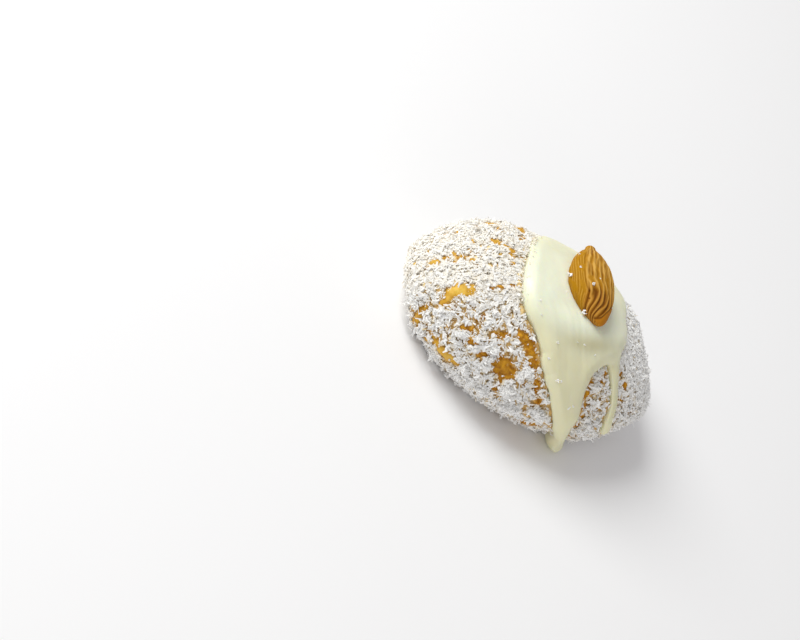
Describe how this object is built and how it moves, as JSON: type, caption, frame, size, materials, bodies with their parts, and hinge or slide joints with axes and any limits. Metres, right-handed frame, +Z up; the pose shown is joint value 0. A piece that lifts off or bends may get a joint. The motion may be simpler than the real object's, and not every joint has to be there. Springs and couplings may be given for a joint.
{
  "type": "almond cookie",
  "caption": "Oval hand-shaped almond cookie rolled in grated coconut, with a white chocolate cap running down in drips and a whole almond on top.",
  "frame": {"origin": "under the middle of the whole cookie, on the flat base it stands on", "axes": "+Z up through the crown, +X along the long way of the oval, -Y towards the side that the wide chocolate drip runs down"},
  "size_m": [0.0748, 0.0556, 0.0373],
  "materials": {
    "coconut_coat": "golden dough under dry grated coconut, matte",
    "white_chocolate": "set white chocolate, soft satin gloss",
    "almond_skin": "brown almond skin with fine lengthwise ridges, low sheen"
  },
  "bodies": {
    "root": {"cookie": "coconut_coat", "white_chocolate": "white_chocolate", "almond": "almond_skin"}
  },
  "joints": []
}
